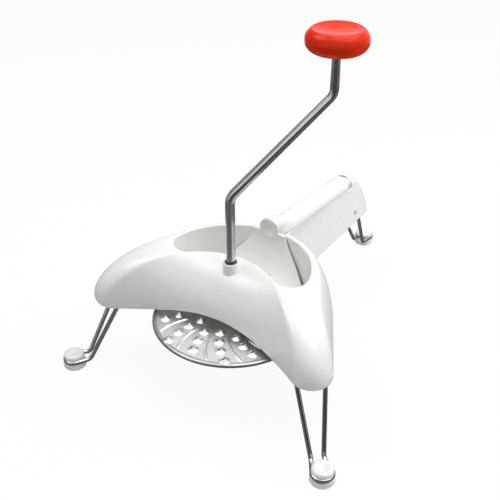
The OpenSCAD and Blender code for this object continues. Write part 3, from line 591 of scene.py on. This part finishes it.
def makeLever(s):
    r, tilt, angles = s["radius"], math.radians(seamShape["tilt"]), s["angles"]
    hingeY, hingeZ = seamShape["hinge"]

    def onSeam(x, y, z):
        # from the seam's own frame, in which the lever lies level
        return (x, hingeY + y * math.cos(tilt) + z * math.sin(tilt),
                hingeZ - y * math.sin(tilt) + z * math.cos(tilt))

    def rise(radius, a):
        return max(radius * sind(a), s["seat"])

    def section(y, grow=0, half=r):
        row = []
        for a in angles:
            raised = r + (grow if r * cosd(a) < s["padHalf"] + 0.02 else 0)
            row.append(onSeam(min(raised * cosd(a), half), y, rise(raised, a)))
        return row
    # scoop, rim and back of the tab, from the middle of the scoop outwards
    ball = ballRadius(s["scoopRadius"], s["scoopDepth"])
    tab = []
    for reach in (s["scoopRadius"] * t for t in s["scoopSteps"]):
        tab.append((reach, s["tabY"] + (s["scoopDepth"] - ball + math.sqrt(ball ** 2 - reach ** 2))))
    out, y = s["tabRadius"], s["tabY"]
    tab += [(s["scoopRadius"] + 0.25, y + 0.02), (out - 0.55, y + 0.1), (out - 0.1, y + 0.55), (out, y + 1.4),
            (out, y + s["tabThick"])]
    places = []
    for reach, y in tab:
        rest = [(reach * sind(2 * a), y, s["tabZ"] - reach * cosd(2 * a)) for a in angles[1:]]
        places.append([(0, y, s["tabZ"] - reach), *rest])
    # blend from the round tab to the half-round lever
    start = (s["blend"] - hingeY) / math.cos(tilt)
    nose, tail = places[-1], section(start)
    for t in s["blendSteps"]:
        row = []
        for a, p, q in zip(angles, nose, tail):
            share = min(1, max(0, (a - s["blendFrom"]) / s["blendSpan"]))
            ease = t ** mix(s["blendEase"], 1, share)  # the lower edge keeps to the seam
            row.append((mix(p[0], q[0], ease), mix(p[1], q[1], t),
                        mix(p[2], q[2] + (1 - t) * s["blendRise"], ease)))
        places.append(row)
    # the lever itself, with a raised pad along its top
    places += [section(y) for y in (start, s["frontRow"], s["padFrom"])]
    padRows = (s["padFrom"] + s["padStep"], *s["padRows"], s["padTo"] - s["padStep"])
    places += [section(y, s["pad"]) for y in padRows]
    places += [section(y) for y in (s["padTo"], *s["backRows"])]
    # round end that turns in the handle's trough
    places.append(section(0, 0, s["crownHalf"]))
    ends = [math.sqrt(max(0, s["crownRadius"] ** 2 - (rise(r, a) - s["crownRise"]) ** 2)) for a in angles]
    for t in s["crownSteps"]:
        places.append([onSeam(min(r * cosd(a), s["crownHalf"]), t * far, rise(r, a))
                       for a, far in zip(angles, ends)])
    for inward in (0.9, 0.48, 0):
        places.append([(x * inward, y, z) for x, y, z in places[-1]])
    bm = bmesh.new()
    loft(bm, places)
    cleanUp(bm)

    def inSlot(c):
        return c.x < s["slotHalf"] and hingeY + s["slotFrom"] < c.y and c.z < hingeZ + s["slotTop"]
    # slot in the round end, which clears the handle's hinge lug
    slot = [f for f in bm.faces if inSlot(f.calc_center_median())]
    bmesh.ops.delete(bm, geom=slot, context="FACES")
    mirrorX(bm)
    obj = finishPiece(bm, "pusherLever", "pusher", "white_plastic", ["pusher"], sharp=60)
    addWall(obj, s["wall"], 2)


makeLever(leverShape)

# Presser: a curled face in the hopper, hollow to the front, on a flat foot
presserShape = {"radius": 54.6, "centre": (7.9, 122), "thick": 3, "edgeRadius": 64.5,
                "angles": (0, 0.6, 2, 4.5, 7.5, 11, 15, 20, 26, 32, 38, 44, 50, 56, 60, 61.5),
                "across": (1, 0.985, 0.9, 0.8, 0.7, 0.55, 0.4, 0.2, 0),
                "shoulder": 0.015, "shoulderFrom": 8, "shoulderTo": 12, "blend": 11, "proud": 0.5,
                "tabLap": 0.4, "roomBack": 4, "roomRun": 24,
                "markX": 8.5, "markAngle": 43.5, "markRadius": 4, "markOut": 51.6,
                "plateZ": 72, "plateThick": 2.5, "plateGap": 5, "plateEnd": 38.1, "plateEdge": 0.5}


def makePresser(s, tab):
    cy, cz = s["centre"]

    def place(x, y, z, a):
        # shoulders fall away beside the tab, and the face comes forward to meet it
        z -= s["shoulder"] * max(0, x - s["shoulderFrom"]) ** 2 * max(0, 1 - a / s["shoulderTo"])
        away = math.hypot(x, z - tab["tabZ"])
        near = max(0, min(1, (tab["tabRadius"] + s["blend"] - away) / s["blend"]))
        return x, mix(y, min(y, tab["tabY"] + s["proud"]), near * near * (3 - 2 * near)), z
    rows = []
    for a in s["angles"]:
        y, z = cy + s["radius"] * cosd(a), cz - s["radius"] * sind(a)
        edge = math.sqrt(s["edgeRadius"] ** 2 - y ** 2)
        rows.append([place(edge * t, y, z, a) for t in s["across"]])
    bm = bmesh.new()
    loft(bm, rows)
    mirrorX(bm)
    bmesh.ops.recalc_face_normals(bm, faces=bm.faces)
    hollow = [f for f in bm.faces if f.normal.dot(f.calc_center_median() - Vector((0, cy, cz))) > 0]
    bmesh.ops.reverse_faces(bm, faces=hollow)  # the hollow face is the outside
    obj = finishPiece(bm, "presserFace", "pusher", "white_plastic", ["pusher"], sharp=60, outward=False)
    addWall(obj, s["thick"], 2)
    # room for the tab, and the round mark below it
    tool = bmesh.new()
    room = Matrix.Translation((0, tab["tabY"] + s["roomBack"], tab["tabZ"]))
    addCylinder(tool, tab["tabRadius"] - s["tabLap"], s["roomRun"],
                room @ Matrix.Rotation(math.pi / 2, 4, "X"), 48)
    mark = (s["markX"], cy + s["markOut"] * cosd(s["markAngle"]), cz - s["markOut"] * sind(s["markAngle"]))
    bmesh.ops.create_uvsphere(tool, u_segments=32, v_segments=16, radius=s["markRadius"],
                              matrix=Matrix.Translation(mark))
    cutAway(obj, tool)


def makePlate(s, b):
    # flat foot of the presser, a little inside the hopper's outline
    gap = s["plateGap"]
    inset = dict(b, crestY=b["crestY"] + gap, crestRadius=b["crestRadius"] + gap,
                 cornerRadius=b["cornerRadius"] - gap, hopperRadius=b["hopperRadius"] - gap)
    mouth, _ = bodyOutlines(inset)
    bm = bmesh.new()
    verts, _ = addChain(bm, [(*p, s["plateZ"]) for p in mouth])
    bm.edges.new((verts[-1], verts[0]))
    bmesh.ops.contextual_create(bm, geom=bm.edges[:])
    bmesh.ops.bisect_plane(bm, geom=bm.verts[:] + bm.edges[:] + bm.faces[:], plane_co=(0, s["plateEnd"], 0),
                           plane_no=(0, 1, 0), clear_outer=True)
    mirrorX(bm)
    out = bmesh.ops.extrude_face_region(bm, geom=bm.faces[:])["geom"]
    bmesh.ops.translate(bm, vec=(0, 0, s["plateThick"]), verts=freshRow(out)[0])
    bmesh.ops.recalc_face_normals(bm, faces=bm.faces)
    corners = [e for e in bm.edges if len(e.link_faces) == 2 and e.calc_face_angle(0) > 1]
    breakEdges(bm, corners, s["plateEdge"])
    finishPiece(bm, "presserPlate", "pusher", "white_plastic", ["pusher"])


makePresser(presserShape, leverShape)
makePlate(presserShape, bodyShape)
print("pusher made")


def bentRod(bm, points, bends, radius, around, endBevel, sizes=None):
    # rod or wire: a ring of edges drawn straight and swung round each bend
    points = [Vector(p) for p in points]
    ways = [(b - a).normalized() for a, b in zip(points, points[1:])]
    trims = [0] + [r * math.tan(a.angle(b) / 2) for r, a, b in zip(bends, ways, ways[1:])] + [0]
    ring = bmesh.ops.create_circle(bm, cap_ends=True, segments=around, radius=radius)["verts"]
    aim = Vector((0, 0, 1)).rotation_difference(ways[0]).to_matrix()
    bmesh.ops.rotate(bm, verts=ring, cent=(0, 0, 0), matrix=aim)
    bmesh.ops.translate(bm, verts=ring, vec=points[0])
    cap = list({f for v in ring for f in v.link_faces})
    edges = list({e for f in cap for e in f.edges})
    now = 1  # thickness of the ring that is being drawn out
    for i, way in enumerate(ways):
        run = (points[i + 1] - points[i]).length - trims[i] - trims[i + 1]
        last = 0
        for share, size in sizes[i] if sizes else ((endBevel / run, 1), (1 - endBevel / run, 1), (1, 1)):
            verts, edges = freshRow(bmesh.ops.extrude_edge_only(bm, edges=edges)["geom"])
            bmesh.ops.translate(bm, verts=verts, vec=way * run * (share - last))
            middle = sum((v.co for v in verts), Vector()) / len(verts)
            bmesh.ops.scale(bm, verts=verts, vec=[size / now] * 3, space=Matrix.Translation(-middle))
            last, now = share, size
        if i + 1 < len(ways):
            swing = way.angle(ways[i + 1])
            inward = (ways[i + 1] - way * way.dot(ways[i + 1])).normalized()
            centre = points[i + 1] - way * trims[i + 1] + inward * bends[i]
            out = bmesh.ops.spin(bm, geom=verts + edges, cent=centre, axis=way.cross(inward), angle=swing,
                                 steps=max(4, round(math.degrees(swing) / 6)))  # a step for each 6 degrees
            verts, edges = freshRow(out["geom_last"])
    lid = bmesh.ops.contextual_create(bm, geom=edges)["faces"]
    bmesh.ops.recalc_face_normals(bm, faces=bm.faces)
    breakEdges(bm, list({e for f in cap + lid for e in f.edges}), endBevel * 0.8)


# Crank: a bent rod, slightly thicker low down; sizes are (share of each straight, thickness)
crankShape = {"radius": 3.5, "low": 185, "high": 272, "throw": 80, "turn": 35, "lowBend": 16, "highBend": 12,
              "foot": 59, "top": 317.7, "around": 40, "endBevel": 0.4,
              "sizes": [[(0.003, 1), (0.5, 1), (0.545, 1), (0.5475, 1.02), (0.556, 1.16), (0.56, 1.17),
                         (0.95, 1.17), (1, 1.17)],
                        [(0.1, 1.16), (0.5, 1.09), (0.9, 1.02), (1, 1.01)],
                        [(0.1, 1.0), (0.45, 0.96), (0.9, 0.96), (1, 0.96)]]}


def crankArm(s):
    return Vector((cosd(s["turn"]), sind(s["turn"]))) * s["throw"]


def makeCrank(s):
    arm = crankArm(s)
    bm = bmesh.new()
    bentRod(bm, [(0, 0, s["foot"]), (0, 0, s["low"]), (*arm, s["high"]), (*arm, s["top"])],
            [s["lowBend"], s["highBend"]], s["radius"], s["around"], s["endBevel"], s["sizes"])
    finishPiece(bm, "crankRod", "crank", "chrome_steel", ["crank_rod"])


makeCrank(crankShape)

# Thrust ring on top of the hub, with its edges broken; its near-black colour is partly painted shadow, for
# the dark line round the rod where it enters the hub
ringShape = {"inner": 3.52, "outer": 5.2, "low": 123.3, "high": 124.3, "edge": 0.25, "steps": 48}


def makeThrustRing(s):
    inner, outer, low, high, e = s["inner"], s["outer"], s["low"], s["high"], s["edge"]
    profile = [(inner, low), (outer - e, low), (outer, low + e), (outer, high - e), (outer - e, high),
               (inner + e, high), (inner, high - e), (inner, low)]
    finishPiece(turnProfile(profile, s["steps"]), "thrustRing", "crank", "dark_plastic", ["crank_collar"])


makeThrustRing(ringShape)

# Knob: a fat disc with fully rounded sides and a shallow dish on top
knobShape = {"radius": 24.3, "low": 305, "height": 18.5, "round": 9, "roundFrom": -88,
             "dishRadius": 18.9, "dishDepth": 2.6, "dishEdge": 0.72, "dishEase": 3, "dishLap": 0.05,
             "plug": 15.3, "plugEdge": 0.35, "cavity": 13.2, "arcSteps": 12, "steps": 96}


def makeKnob(s, crank):
    low, top, r, steps = s["low"], s["low"] + s["height"], s["radius"] - s["round"], s["arcSteps"]
    ball = ballRadius(s["dishRadius"], s["dishDepth"])
    plug, e = s["plug"], s["plugEdge"]
    profile = [(plug, low + s["cavity"]), (plug, low + e), (plug + e, low)]
    profile += roundCorner((r, low + s["round"]), s["round"], s["roundFrom"], 0, steps)
    edge = math.acos((s["dishRadius"] + s["dishLap"] - r) / s["round"])
    profile += roundCorner((r, top - s["round"]), s["round"], 0, math.degrees(edge), steps)
    lip = top - s["round"] * (1 - math.sin(edge))
    for k in range(steps + 1):
        reach = max(0, s["dishRadius"] * (1 - k / steps) - s["dishEdge"] * max(0, 1 - k / s["dishEase"]))
        profile.append((reach, lip - s["dishDepth"] + ball - math.sqrt(ball ** 2 - reach ** 2)))
    finishPiece(turnProfile(profile, s["steps"], tuple(crankArm(crank))), "knob", "knob", "red_plastic",
                ["knob_shell"], sharp=50)


makeKnob(knobShape, crankShape)
print("crank and knob made")

# Folding legs: one wire each, both ends in the pivot and the middle bent round the foot
legShape = {"wire": 2, "around": 24, "ring": 8.34, "ringZ": 8.24, "ringSteps": 48,
            "neckRun": 14.6, "neckSpread": 5.3, "pivotBend": 3.4, "kneeBend": 10, "neckBend": 6,
            "endBevel": 0.2}
frontLeg = {"reach": 48.6, "pivotZ": 78, "spread": 13.4, "end": 3, "knee": None}
legs = {"Left": dict(frontLeg, foot=(-131.396, -69.257), turn=225.8),
        "Right": dict(frontLeg, foot=(131.396, -69.257), turn=-45.8),
        "Rear": {"reach": 68.6, "pivotZ": 76, "spread": 12.0, "end": 16.4, "knee": (-52.1, 11.6, 71.5),
                 "foot": (0, 276.6), "turn": 90}}


def placeFoot(bm, leg):
    bmesh.ops.rotate(bm, verts=bm.verts, cent=(0, 0, 0), matrix=turnZ(leg["turn"]).to_3x3())
    bmesh.ops.translate(bm, verts=bm.verts, vec=(*leg["foot"], 0))


def makeLeg(name, leg, s):
    reach = math.hypot(s["neckRun"], s["neckSpread"])
    grip = 180 - degrees(s["neckSpread"], s["neckRun"]) - math.degrees(math.acos(s["ring"] / reach))
    bm = bmesh.new()
    for side in (1, -1):
        knee = [(leg["knee"][0], side * leg["knee"][1], leg["knee"][2])] if leg["knee"] else []
        points = [(-leg["reach"], side * leg["end"], leg["pivotZ"]),
                  (-leg["reach"], side * leg["spread"], leg["pivotZ"]), *knee,
                  (-s["neckRun"], side * s["neckSpread"], s["ringZ"]),
                  (s["ring"] * cosd(grip), side * s["ring"] * sind(grip), s["ringZ"])]
        bends = [s["pivotBend"]] + [s["kneeBend"]] * len(knee) + [s["neckBend"]]
        wire = bmesh.new()
        bentRod(wire, points, bends, s["wire"], s["around"], s["endBevel"])
        addCopy(bm, wire)
        wire.free()
    # the ring round the foot
    loop = bmesh.ops.create_circle(bm, segments=s["around"], radius=s["wire"])["verts"]
    bmesh.ops.rotate(bm, verts=loop, cent=(0, 0, 0), matrix=Matrix.Rotation(math.pi / 2, 3, "X"))
    bmesh.ops.translate(bm, verts=loop, vec=(s["ring"], 0, s["ringZ"]))
    bmesh.ops.rotate(bm, verts=loop, cent=(0, 0, 0), matrix=turnZ(-grip).to_3x3())
    edges = list({e for v in loop for e in v.link_edges})
    bmesh.ops.spin(bm, geom=loop + edges, cent=(0, 0, 0), axis=(0, 0, 1), angle=math.radians(2 * grip),
                   steps=s["ringSteps"])
    placeFoot(bm, leg)
    finishPiece(bm, "leg" + name, name.lower() + "_leg", "chrome_steel", ["leg_" + name.lower()])


# Feet: a thick pad under the wire and a dished cap above it
footShape = {"padRadius": 10.49, "padHeight": 6.1, "padEdge": 1.3, "padLip": (3.2, 2.8), "padHollow": 0.4,
             "capRadius": 9.3, "capLow": 10.38, "capHigh": 14.58, "capRound": 2.4, "capTurn": 84,
             "capEdge": 0.4, "stem": 6.2, "dish": 1.0, "dishRadius": 4.9,
             "dishSteps": (5.2, 4.6, 3.4, 2, 0.8, 0), "steps": 64}


def makeFoot(name, leg, s):
    e, r, h = s["padEdge"], s["padRadius"], s["padHeight"]
    pad = [(0, s["padHollow"]), (r - s["padLip"][0], s["padHollow"]), (r - s["padLip"][1], 0), (r - e, 0)]
    pad += roundCorner((r - e, e), e, -80, 0, 5) + roundCorner((r - e, h - e), e, 0, 90, 6)
    pad += [(s["stem"], h), (0, h)]
    low, high, c = s["capLow"], s["capHigh"], s["capRound"]
    cap = [(0, h), (s["stem"], h), (s["stem"], low), (s["capRadius"] - s["capEdge"], low),
           (s["capRadius"], low + s["capEdge"])]
    cap += roundCorner((s["capRadius"] - c, high - c), c, 0, s["capTurn"], 8)
    ball = ballRadius(s["dishRadius"], s["dish"])
    cap += [(reach, high - s["dish"] + ball - math.sqrt(ball ** 2 - reach ** 2)) for reach in s["dishSteps"]]
    for piece, node, profile in (("footPad", "foot_pad_", pad), ("footCap", "foot_cap_", cap)):
        bm = turnProfile(profile, s["steps"])
        placeFoot(bm, leg)
        finishPiece(bm, piece + name, name.lower() + "_leg", "white_plastic", [node + name.lower()])


for name, leg in legs.items():
    makeLeg(name, leg, legShape)
    makeFoot(name, leg, footShape)
print("legs and feet made")

# Grating disc: stamped sheet with a rolled edge, torn teeth in slanted rows and curved ribs between them
# the last two numbers: the width in mm of the rolled edge's outer band that is painted a darker grey, and how
# far it goes towards the hole colour
discShape = {"radius": 70, "top": 68, "low": 65, "sheet": 0.8, "eye": 3.6, "edge": 2.2, "hem": 0.65,
             "darkRimWidth": 3.3, "darkRimShare": 0.5, "steps": 144}
toothShape = {"rows": 14, "first": 28, "step": 12, "slant": 0.42, "foot": 5.2, "tip": 2.7, "hole": 2.1,
              "height": 2.4, "tear": 0.05, "low": 0.5, "high": 1.58, "lean": 1.1, "narrow": 0.45,
              "around": 20}
ribShape = {"from": 36, "to": 66, "bow": 50, "half": 1.5, "height": 0.8, "shift": 0.62, "ease": 5,
            "steps": 14, "section": ((-1, -0.05), (-0.75, 0.25), (-0.4, 0.8), (0, 1), (0.4, 0.8),
                                     (0.75, 0.25), (1, -0.05))}


def toothPlaces(t):
    for row in range(t["rows"]):
        for k in range(4 if row % 2 else 3):
            out = (k + (0 if row % 2 else 0.5)) * t["step"]
            yield t["first"] + out, 360 * row / t["rows"] + t["slant"] * out


def piercedSheet(s, t):
    r, e, top, low, under = s["radius"], s["edge"], s["top"], s["low"], s["top"] - s["sheet"]
    rim = [(s["eye"], under), (r - 2.6, under), (r - 1.5, top - 1.4), (r - 2 * s["hem"], low + 0.3)]
    rim += roundCorner((r - s["hem"], low + s["hem"]), s["hem"], 200, 360, 6)
    rim += roundCorner((r - e, top - e), e, 0, 90, 7)
    rim += [(reach, top) for reach in (r - 3.7, 56, 44, 32, 20, 12, s["eye"])] + [(s["eye"], under)]
    sheet = turnProfile(rim, s["steps"])
    bmesh.ops.recalc_face_normals(sheet, faces=sheet.faces)
    # one hole punch for all the teeth
    punch = bmesh.new()
    for reach, angle in toothPlaces(t):
        place = turnZ(angle) @ Matrix.Translation((reach, 0, top - 0.5))
        addCylinder(punch, t["tip"], 4, place, t["around"])
    blank = addMesh("sheet", sheet)
    bm = bmesh.new()
    bm.from_mesh(takeOut(blank, addMesh("punch", punch)))
    bpy.data.objects.remove(blank)
    return bm


def tornTooth(t, sheet):
    # concave cone, ragged lip, and a wall down through the sheet
    foot, tip, hole, height = t["foot"], t["tip"], t["hole"], t["height"]
    tooth = turnProfile([(foot, 0), (foot - 0.9, 0.28), (tip + 0.45, 1.25), (tip, height - 0.25),
                         (tip - 0.25, height), (hole + 0.05, height - 0.1), (hole, 1.0),
                         (hole + 0.4, -sheet)], t["around"])
    for v in tooth.verts:
        if v.co.z > 0.2:
            # one side is torn up into a point
            raised = max(0, 0.5 + 0.5 * v.co.y / v.co.xy.length) ** 1.5
            tall = v.co.z / height
            ragged = t["tear"] * (1 - math.cos(5 * math.atan2(v.co.y, v.co.x))) if tall > 0.8 else 0
            v.co.z *= mix(t["low"], t["high"], raised) - ragged
            v.co.x *= 1 - t["narrow"] * raised * tall
            v.co.y -= t["lean"] * raised * tall
    return tooth


def curvedRib(r, slant):
    # a low ridge along an arc, which runs out at both ends
    rib = bmesh.new()
    turn = slant * (r["to"] - r["from"])
    a, b = Vector((r["from"], 0)), Vector((cosd(turn), sind(turn))) * r["to"]
    half = (b - a).length / 2
    across = Vector((-(b - a).y, (b - a).x)).normalized()
    centre = (a + b) / 2 + across * math.sqrt(r["bow"] ** 2 - half ** 2)
    sweep = 2 * math.asin(half / r["bow"])
    out = (a - centre).normalized()
    verts, edges = addChain(rib, [(*(centre + out * (r["bow"] + d * r["half"])), h * r["height"])
                                  for d, h in r["section"]])
    bmesh.ops.spin(rib, geom=verts + edges, cent=centre.to_3d(), axis=(0, 0, 1), angle=sweep,
                   steps=r["steps"])
    for v in rib.verts:
        way = out.angle_signed((v.co.xy - centre).normalized(), 0)
        ends = min(abs(way), abs(abs(way) - sweep)) * r["bow"]
        v.co.z *= min(1, ends / r["ease"]) ** 0.6
    return rib


def makeDisc(s, t, r):
    bm = piercedSheet(s, t)
    tooth, rib = tornTooth(t, s["sheet"]), curvedRib(r, t["slant"])
    for reach, angle in toothPlaces(t):
        addCopy(bm, tooth, turnZ(angle) @ Matrix.Translation((reach, 0, s["top"])))
    for row in range(t["rows"]):
        addCopy(bm, rib, turnZ(360 * (row + r["shift"]) / t["rows"]) @ Matrix.Translation((0, 0, s["top"])))
    tooth.free()
    rib.free()
    obj = finishPiece(bm, "gratingDisc", "crank", "stainless_sheet", ["disc_plate"], sharp=38)
    # marks the faces painted darker: the holes' walls as painted shade, and the rolled edge in a darker grey
    centres = [turnZ(angle) @ Vector((reach, 0, 0)) for reach, angle in toothPlaces(t)]
    tree = KDTree(len(centres))
    for i, c in enumerate(centres):
        tree.insert(c, i)
    tree.balance()
    inside = obj.data.attributes.new("inside", "FLOAT", "FACE")
    for f in obj.data.polygons:
        x, y, z = f.center.x / mm, f.center.y / mm - crankY, f.center.z / mm
        # the rolled edge's outer band is painted a darker grey
        if math.hypot(x, y) > s["radius"] - s["darkRimWidth"]:
            inside.data[f.index].value = s["darkRimShare"]
        # painted shade: the walls of the punched holes take the full dark hole colour
        elif tree.find((x, y, 0))[2] < t["hole"] + 0.3 and z < s["top"] + 0.9 and abs(f.normal.z) < 0.8:
            inside.data[f.index].value = 1


makeDisc(discShape, toothShape, ribShape)
print("disc made")

# Studio: white sweep, a broad soft lamp overhead, a key at the upper left and a rim lamp at the rear right
studio = {"floor": 12.0, "paper": "#D2D2D2", "glow": 1.03, "shadow": 0.1, "fill": 0.29, "backdrop": 0.98}
lamps = {"overhead": {"power": 9.7, "size": 1.0, "place": (0.3, 0.08, 1.2), "target": (0, -0.05, 0.1)},
         "key": {"power": 5.3, "size": 0.7, "place": (-0.62, -0.36, 1.18), "target": (0, -0.05, 0.1)},
         "rim": {"power": 5.2, "size": 0.7, "place": (0.95, 0.6, 0.6), "target": (0, 0.05, 0.1)}}
# Grey cards that only reflections see: on the floor, upright at either side, and low in front
cards = {"cardFloor": {"level": 0.16, "size": (2.2, 2.0), "place": (0.15, -0.25, 0.002), "turn": (0, 0, 32)},
         "cardLeft": {"level": 0.3, "size": (2.6, 1.5), "place": (-1.05, -0.4, 0.75), "turn": (90, 0, 90)},
         "cardRight": {"level": 0.3, "size": (1.2, 0.75), "place": (1.1, 0.55, 0.36), "turn": (90, 0, 122)},
         "cardFront": {"level": 0.05, "size": (1.0, 0.23), "place": (0.254, -0.407, 0.125),
                       "turn": (90, 0, 32)}}


def addStage(name, size, place, turn, mat):
    bm = bmesh.new()
    bmesh.ops.create_grid(bm, x_segments=1, y_segments=1, size=0.5)
    bmesh.ops.scale(bm, vec=(*size, 1), verts=bm.verts)
    obj = addMesh(name, bm)
    obj.data.materials.append(mat)
    obj.location, obj.rotation_euler = place, [math.radians(t) for t in turn]
    return obj


def seenRays(tree):
    # 1 for what the camera sees, straight or by reflection or through glass, and 0 for light on the object
    rays = addNode(tree, "ShaderNodeLightPath")
    seen = addNode(tree, "ShaderNodeMath", {"operation": "MAXIMUM"},
                   {0: rays.outputs["Is Camera Ray"], 1: rays.outputs["Is Glossy Ray"]})
    seen = addNode(tree, "ShaderNodeMath", {"operation": "MAXIMUM"},
                   {0: seen.outputs[0], 1: rays.outputs["Is Transmission Ray"]})
    return seen.outputs[0]


# White floor that still takes the object's soft shadow
paper, tree, bsdf, _ = newMaterial("white paper sweep")
tree.nodes.remove(bsdf)
lit = addNode(tree, "ShaderNodeBsdfDiffuse", {"Color": linear(studio["paper"])})
glow = addNode(tree, "ShaderNodeEmission", {"Color": (1, 1, 1, 1), "Strength": studio["glow"]})
share = addNode(tree, "ShaderNodeMath", {"operation": "MULTIPLY", 1: 1 - studio["shadow"]},
                {0: seenRays(tree)})
both = addNode(tree, "ShaderNodeMixShader", {}, {0: share.outputs[0], 1: lit.outputs[0], 2: glow.outputs[0]})
tree.links.new(both.outputs[0], tree.nodes["Material Output"].inputs["Surface"])
addStage("floor", (studio["floor"], studio["floor"]), (0, 0, 0), (0, 0, 0), paper)

# World: white to the camera and in reflections, a dim even fill for the rest
scene.world = bpy.data.worlds.new("studio")
scene.world.use_nodes = True
tree = scene.world.node_tree
level = addNode(tree, "ShaderNodeMapRange", {"To Min": studio["fill"], "To Max": studio["backdrop"]},
                {"Value": seenRays(tree)})
tree.links.new(level.outputs["Result"], tree.nodes["Background"].inputs["Strength"])
tree.nodes["Background"].inputs["Color"].default_value = (1, 1, 1, 1)

for name, look in lamps.items():
    lamp = addObject(name, bpy.data.lights.new(name, "AREA"))
    lamp.data.shape, lamp.data.energy = "RECTANGLE", look["power"]
    lamp.data.size = lamp.data.size_y = look["size"]
    lamp.location = look["place"]
    aim = Vector(look["target"]) - Vector(look["place"])
    lamp.rotation_euler = aim.to_track_quat("-Z", "Y").to_euler()
    lamp.visible_glossy = name != "rim"

for name, look in cards.items():
    paint, tree, bsdf, _ = newMaterial("grey card " + name)
    tree.nodes.remove(bsdf)
    dim = addNode(tree, "ShaderNodeEmission", {"Color": (1, 1, 1, 1), "Strength": look["level"]})
    tree.links.new(dim.outputs[0], tree.nodes["Material Output"].inputs["Surface"])
    card = addStage(name, look["size"], look["place"], look["turn"], paint)
    card.visible_camera = card.visible_diffuse = card.visible_shadow = card.visible_transmission = False

# The photograph's viewpoint
view = {"lens": 59.04, "sensor": 36, "clip": (0.01, 50), "place": (0.3274, -0.58647, 0.5034),
        "right": (0.84296, 0.53797, 0), "up": (-0.28731, 0.45020, 0.84545),
        "back": (0.45483, -0.71268, 0.53407)}
cam = addObject("camera", bpy.data.cameras.new("camera"))
cam.data.lens, cam.data.sensor_width = view["lens"], view["sensor"]
cam.data.clip_start, cam.data.clip_end = view["clip"]
axes = Matrix((view["right"], view["up"], view["back"])).transposed().to_4x4()
cam.matrix_world = Matrix.Translation(view["place"]) @ axes
scene.camera = cam
print("studio set")
